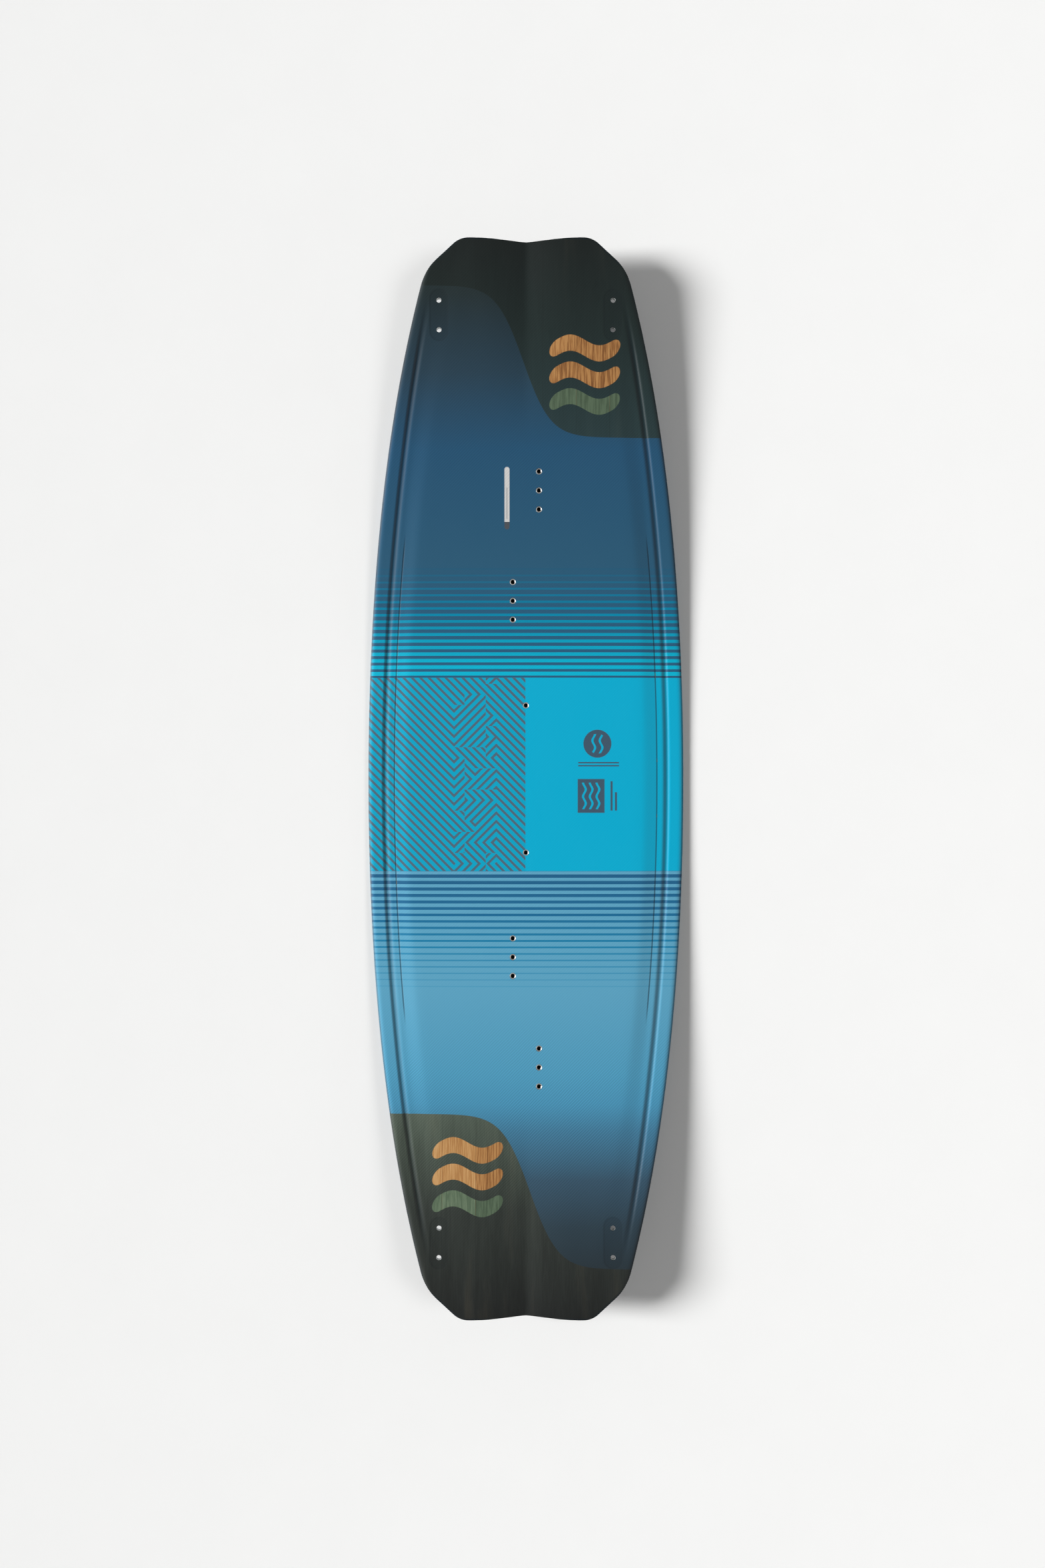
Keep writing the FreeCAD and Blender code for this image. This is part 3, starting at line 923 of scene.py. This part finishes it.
def deckMaterial():
    material, tree, shader, place, axes = startMaterial("deckPrint")
    x, y = axes[0], axes[1]
    threads = useGroup(tree, cloth, Place=place, Pitch=4.1, Cross=0.2)
    wood = useGroup(tree, grain, Place=place, Strip=45.1, Strips=0.35)
    worn = useGroup(tree, handling, Place=place, Rough=0.5, Spread=0.14)

    colour = alongRamp(tree, x, deckGradient)
    lines = alongRamp(tree, x, lineGradient)
    colour = blendPaint(tree, lineMask(tree, x, printed["upper"], 1), colour, lines)
    colour = blendPaint(tree, lineMask(tree, x, printed["lower"], -1), colour, lines)

    low, high = printed["block"]
    block = edged(tree, calc(tree, "SUBTRACT", apart(tree, x, (low + high) / 2), (high - low) / 2))
    left = calc(tree, "GREATER_THAN", y, printed["middleLine"])
    dull = calc(tree, "MULTIPLY", left, printed["dullShare"])
    colour = blendPaint(tree, block, colour, blendPaint(tree, dull, colours["cyan"], colours["cyanDull"]))
    bars = calc(tree, "MULTIPLY", barMask(tree, x, y), block)
    grit = calc(tree, "MULTIPLY_ADD", worn["Dust"], -0.18, 0.94)
    colour = blendPaint(tree, calc(tree, "MULTIPLY", bars, grit), colour, colours["bar"])
    badge = calc(tree, "MULTIPLY", edged(tree, badgeField(tree, x, y)), 0.96)
    colour = blendPaint(tree, badge, colour, colours["badge"])

    stripY, stripLow, stripHigh = printed["strip"]
    middle = ((stripLow + stripHigh) / 2, stripY)
    stripRadius = printed["stripRadius"]
    stripReach = (stripHigh - stripLow) / 2 - stripRadius
    label = edged(tree, pillField(tree, x, y, middle, stripReach, stripRadius))
    atEnd = calc(tree, "LESS_THAN", x, stripLow + printed["stripEnd"])
    labelPaint = blendPaint(tree, atEnd, colours["label"], colours["labelEnd"])
    ruleLow, ruleHigh = (stripLow + at for at in printed["stripRule"])
    rule = edged(tree, boxField(tree, x, y, (ruleLow, stripY - 0.5), (ruleHigh, stripY + 0.5)))
    labelPaint = blendPaint(tree, calc(tree, "MULTIPLY", rule, 0.6), labelPaint, colours["labelEnd"])
    colour = blendPaint(tree, label, colour, labelPaint)

    # The cloth shows most through the darker ends of the print
    showing = ramp(tree, alongShare(tree, x), [
        (0.05, grey(0.05)), (0.14, grey(1.0)), (0.22, grey(0.75)), (0.30, grey(0.12)),
        (0.72, grey(0.08)), (0.80, grey(0.4)), (0.93, grey(0.3)),
    ])

    stained = alongRamp(tree, x, woodGradient)
    brown = blendPaint(tree, 0.13, stained, paint(84, 74, 56))
    tone = wood["Tone"]
    strong = calc(tree, "MULTIPLY_ADD", between(tree, x, 0.0, -450.0), 0.55, 0.3)
    streaks = noise(tree, stretched(tree, place, (0.004, 0.045, 0.045)), 1.0, 3.0, 0.5)
    browned = calc(tree, "MULTIPLY", between(tree, streaks, 0.5, 0.75), strong)
    stained = blendPaint(tree, browned, stained, brown)
    shade = calc(tree, "ADD", aroundMiddle(tree, tone, 0.42), aroundMiddle(tree, streaks, 0.9))
    depth = calc(tree, "MULTIPLY_ADD", shade, strong, 1.0)
    stained = blendPaint(tree, 1.0, stained, depth, "MULTIPLY")
    stained = blendPaint(tree, calc(tree, "MULTIPLY", wood["Seam"], 0.25), stained, paint(24, 27, 26))
    dark = calc(tree, "MAXIMUM", *[sweepMask(tree, x, y, sweep) for sweep in printed["sweeps"]])
    colour = blendPaint(tree, dark, colour, stained)

    lift = calc(tree, "MULTIPLY_ADD", calc(tree, "MULTIPLY", threads["Thread"], showing), 0.21, 1.0)
    colour = blendPaint(tree, 1.0, colour, lift, "MULTIPLY")

    natural = ramp(tree, tone, [
        (0.15, paint(120, 78, 44)), (0.4, paint(164, 116, 68)),
        (0.65, paint(184, 138, 86)), (0.95, paint(204, 162, 112)),
    ])
    green = ramp(tree, tone, [
        (0.15, paint(68, 84, 66)), (0.6, paint(90, 108, 86)), (0.95, paint(112, 128, 104)),
    ])
    for spot in printed["motifs"]:
        mask, last = motifMasks(tree, x, y, spot)
        inlay = blendPaint(tree, last, natural, green)
        inlay = blendPaint(tree, calc(tree, "MULTIPLY", wood["Seam"], 0.5), inlay, paint(96, 66, 42))
        colour = blendPaint(tree, mask, colour, inlay)

    fromRim = calc(tree, "MULTIPLY_ADD", worn["Dust"], 0.5, rimDistance(tree, x, y))
    rim = between(tree, fromRim, board["rimWidth"], 0.9)
    colour = blendPaint(tree, calc(tree, "MULTIPLY", rim, 0.6), colour, paint(20, 30, 36))
    # Painted shade darkens the channel and the crease
    colour = blendPaint(tree, paintedShadeMask(tree, x, y), colour, paintedShade["paint"])

    recess = recessField(tree, x, y)
    # Painted shade: the fin recess is darkened inside and along its edge, while its depth is only a bump
    inRecess = calc(tree, "MULTIPLY_ADD", recess, -0.35, 0.5, clamp=True)
    ring = calc(tree, "SUBTRACT", 1.0, between(tree, calc(tree, "ABSOLUTE", recess), 0.2, 1.6))
    paintedRecessShade = calc(tree, "MULTIPLY_ADD", inRecess, 0.16, calc(tree, "MULTIPLY", ring, 0.14))
    colour = blendPaint(tree, paintedRecessShade, colour, paint(18, 24, 28))

    height = calc(tree, "MULTIPLY", threads["Height"], 0.010)
    height = calc(tree, "MULTIPLY_ADD", worn["Height"], 0.012, height)
    height = calc(tree, "MULTIPLY_ADD", calc(tree, "MULTIPLY", wood["Height"], dark), 0.03, height)
    height = calc(tree, "MULTIPLY_ADD", inRecess, -0.14, height)
    bump(tree, shader, height, 1.0)
    wire(tree, colour, shader.inputs["Base Color"])
    wire(tree, worn["Roughness"], shader.inputs["Roughness"])
    shader.inputs["Specular IOR Level"].default_value = 0.2
    return material


def baseMaterial():
    material, tree, shader, place, axes = startMaterial("basePrint")
    x = axes[0]
    threads = useGroup(tree, cloth, Place=place, Pitch=4.1, Cross=0.2)
    worn = useGroup(tree, handling, Place=place, Rough=0.3, Spread=0.14)
    colour = alongRamp(tree, x, [
        (-720, (36, 42, 46)), (-600, (40, 58, 72)), (-430, (44, 88, 116)), (-281, (52, 104, 136)),
        (281, (52, 104, 136)), (430, (44, 88, 116)), (600, (40, 58, 72)), (720, (36, 42, 46)),
    ])
    for lines, side in ((printed["upper"], 1), (printed["lower"], -1)):
        colour = blendPaint(tree, lineMask(tree, x, lines, side), colour, colours["lineCyan"])
    block = edged(tree, calc(tree, "SUBTRACT", calc(tree, "ABSOLUTE", x), printed["block"][1]))
    colour = blendPaint(tree, block, colour, colours["cyan"])
    lift = calc(tree, "MULTIPLY_ADD", threads["Thread"], 0.05, 1.0)
    colour = blendPaint(tree, 1.0, colour, lift, "MULTIPLY")
    height = calc(tree, "MULTIPLY", threads["Height"], 0.008)
    bump(tree, shader, calc(tree, "MULTIPLY_ADD", worn["Height"], 0.014, height), 1.0)
    wire(tree, colour, shader.inputs["Base Color"])
    wire(tree, worn["Roughness"], shader.inputs["Roughness"])
    shader.inputs["Coat Weight"].default_value = 0.3
    shader.inputs["Coat Roughness"].default_value = 0.12
    return material


def plasticMaterial(name, light, dark, rough, grit):
    material, tree, shader, place, axes = startMaterial(name)
    worn = useGroup(tree, handling, Place=place, Rough=rough, Spread=0.2)
    patch = noise(tree, place, 0.09, 4.0, 0.6)
    colour = blendPaint(tree, between(tree, patch, 0.35, 0.7), paint(*dark), paint(*light))
    wire(tree, colour, shader.inputs["Base Color"])
    milled = noise(tree, stretched(tree, place, (0.9, 0.9, 3.0)), 1.0, 3.0, 0.6)
    bump(tree, shader, calc(tree, "MULTIPLY_ADD", milled, 1.5, worn["Height"]), grit)
    wire(tree, worn["Roughness"], shader.inputs["Roughness"])
    return material


def laminateMaterial():
    material, tree, shader, place, axes = startMaterial("glassLaminate")
    threads = useGroup(tree, cloth, Place=place, Pitch=1.6, Cross=0.9)
    worn = useGroup(tree, handling, Place=place, Rough=0.32, Spread=0.15)
    thread = calc(tree, "MULTIPLY_ADD", threads["Thread"], 0.3, 0.5, clamp=True)
    colour = ramp(tree, thread, [
        (0.1, paint(52, 62, 60)), (0.6, paint(84, 96, 90)), (1.0, paint(128, 138, 126)),
    ])
    wire(tree, colour, shader.inputs["Base Color"])
    bump(tree, shader, threads["Height"], 0.03)
    wire(tree, worn["Roughness"], shader.inputs["Roughness"])
    return material


def carbonMaterial():
    material, tree, shader, place, axes = startMaterial("carbonTape")
    tows = noise(tree, stretched(tree, place, (0.01, 1.4, 1.0)), 1.0, 4.0, 0.6)
    worn = useGroup(tree, handling, Place=place, Rough=0.28, Spread=0.12)
    colour = ramp(tree, tows, [(0.3, paint(16, 17, 19)), (0.55, paint(34, 36, 40)), (0.8, paint(62, 66, 72))])
    wire(tree, colour, shader.inputs["Base Color"])
    bump(tree, shader, tows, 0.05)
    wire(tree, worn["Roughness"], shader.inputs["Roughness"])
    shader.inputs["Anisotropic"].default_value = 0.5
    return material


def woodMaterial():
    material, tree, shader, place, axes = startMaterial("stripWood")
    wood = useGroup(tree, grain, Place=place, Strip=45.1, Strips=0.3)
    colour = ramp(tree, wood["Tone"], [
        (0.2, paint(142, 102, 64)), (0.5, paint(190, 150, 104)), (0.9, paint(224, 194, 150)),
    ])
    wire(tree, blendPaint(tree, wood["Seam"], colour, paint(96, 66, 40)), shader.inputs["Base Color"])
    bump(tree, shader, wood["Height"], 0.12)
    wire(tree, calc(tree, "MULTIPLY_ADD", wood["Tone"], -0.15, 0.7), shader.inputs["Roughness"])
    return material


def steelMaterial():
    material, tree, shader, place, axes = startMaterial("turnedSteel")
    worn = useGroup(tree, handling, Place=place, Rough=0.36, Spread=0.2)
    mottle = noise(tree, place, 0.8, 3.0, 0.6)
    paintedBoreShade = tree.nodes.new("ShaderNodeAttribute")
    paintedBoreShade.attribute_name = "paintedBoreShade"
    bright = blendPaint(tree, mottle, paint(214, 214, 212), paint(238, 238, 234))
    # Painted shade: the marked threads and bore foot get a dark colour in place of the shade inside the hole
    wire(tree, blendPaint(tree, paintedBoreShade.outputs["Fac"], bright, paint(34, 34, 35)), shader.inputs["Base Color"])
    shader.inputs["Metallic"].default_value = 0.85
    bump(tree, shader, worn["Height"], 0.02)
    wire(tree, worn["Roughness"], shader.inputs["Roughness"])
    return material


print("materials")
finishes = {
    "deck_print": deckMaterial(),
    "base_print": baseMaterial(),
    "glass_laminate": laminateMaterial(),
    "carbon_tape": carbonMaterial(),
    "paulownia": woodMaterial(),
    "abs_rail": plasticMaterial("absRail", (46, 49, 53), (30, 32, 35), 0.42, 0.03),
    "insert_block": plasticMaterial("insertBlock", (206, 194, 164), (176, 162, 130), 0.7, 0.12),
    "insert_steel": steelMaterial(),
    "fin_bush": plasticMaterial("finBush", (226, 228, 227), (206, 209, 208), 0.4, 0.02),
}
slotOf = {part["node"]: part["material_slot"] for part in frame["record"]["subparts"]}
for name, node in frame["nodes"].items():
    node.data.materials.clear()
    node.data.materials.append(finishes[slotOf[name]])
deckSheet.data.materials.append(finishes["deck_print"])
baseSheet.data.materials.append(finishes["base_print"])
for name in insertSpots():
    bpy.data.objects[name + "Inserts"].data.materials.append(finishes["insert_steel"])

print("floor, light and camera")
studio = {
    "size": 12.0,
    "floor": ((241, 241, 240), (244, 244, 243)),
    "floorDrop": 0.0005,
    "key": {"tall": 24, "turned": 3, "angle": 18, "strength": 5.85},
    "fill": {"tall": 44, "turned": 184, "angle": 25, "strength": 0.62},
    "overhead": 0.1,
    "horizon": 0.8,
    "wall": 3.6,
    "wallInset": 0.2,
    "wallSunk": 0.01,
}

bpy.ops.object.select_all(action="DESELECT")
bpy.ops.mesh.primitive_circle_add(
    vertices=96, radius=studio["size"], fill_type="NGON", location=(0, 0, -studio["floorDrop"])
)
floor = bpy.context.object
floor.name = "floor"
floorMaterial, tree, shader, place, axes = startMaterial("paleFloor")
mottle = noise(tree, place, 0.01, 4.0, 0.6)
floorPaint = blendPaint(tree, mottle, *[paint(*tone) for tone in studio["floor"]])
wire(tree, floorPaint, shader.inputs["Base Color"])
shader.inputs["Roughness"].default_value = 0.8
shader.inputs["Specular IOR Level"].default_value = 0.2
floor.data.materials.append(floorMaterial)

# A low ring of glowing cloth round the floor, so that the floor meets a pale wall
bpy.ops.mesh.primitive_cylinder_add(
    vertices=64,
    radius=studio["size"] - studio["wallInset"],
    depth=studio["wall"],
    end_fill_type="NOTHING",
    location=(0, 0, studio["wall"] / 2 - studio["wallSunk"]),
)
wall = bpy.context.object
wall.name = "wall"
wallMaterial, tree, shader, place, axes = startMaterial("glowingCloth")
folds = noise(tree, place, 0.002, 3.0, 0.5)
glow = ramp(tree, folds, [(0.2, grey(studio["horizon"] * 0.97)), (0.8, grey(studio["horizon"]))])
shader.inputs["Base Color"].default_value = grey(0.0)
wire(tree, glow, shader.inputs["Emission Color"])
shader.inputs["Emission Strength"].default_value = 1.0
wall.data.materials.append(wallMaterial)

world = bpy.data.worlds.new("studio")
bpy.context.scene.world = world
world.use_nodes = True
world.node_tree.nodes["Background"].inputs["Color"].default_value = (1, 1, 1, 1)
world.node_tree.nodes["Background"].inputs["Strength"].default_value = studio["overhead"]


def sunLight(name, values):
    light = bpy.data.lights.new(name, "SUN")
    light.energy = values["strength"]
    light.angle = math.radians(values["angle"])
    lamp = bpy.data.objects.new(name, light)
    bpy.context.scene.collection.objects.link(lamp)
    tall, turned = math.radians(values["tall"]), math.radians(values["turned"])
    toward = Vector((math.sin(turned) * math.cos(tall), math.cos(turned) * math.cos(tall), math.sin(tall)))
    lamp.rotation_euler = toward.to_track_quat("Z", "Y").to_euler()


sunLight("key", studio["key"])
sunLight("fill", studio["fill"])
bpy.context.scene.view_settings.view_transform = "Standard"

lens = bpy.data.cameras.new("overhead")
lens.sensor_width = 36
lens.lens = 30.0
camera = bpy.data.objects.new("overhead", lens)
bpy.context.scene.collection.objects.link(camera)
camera.location = (-0.0068, 0.0046, 1.789)
camera.rotation_euler = (0, 0, -math.pi / 2)
bpy.context.scene.camera = camera

print("done")
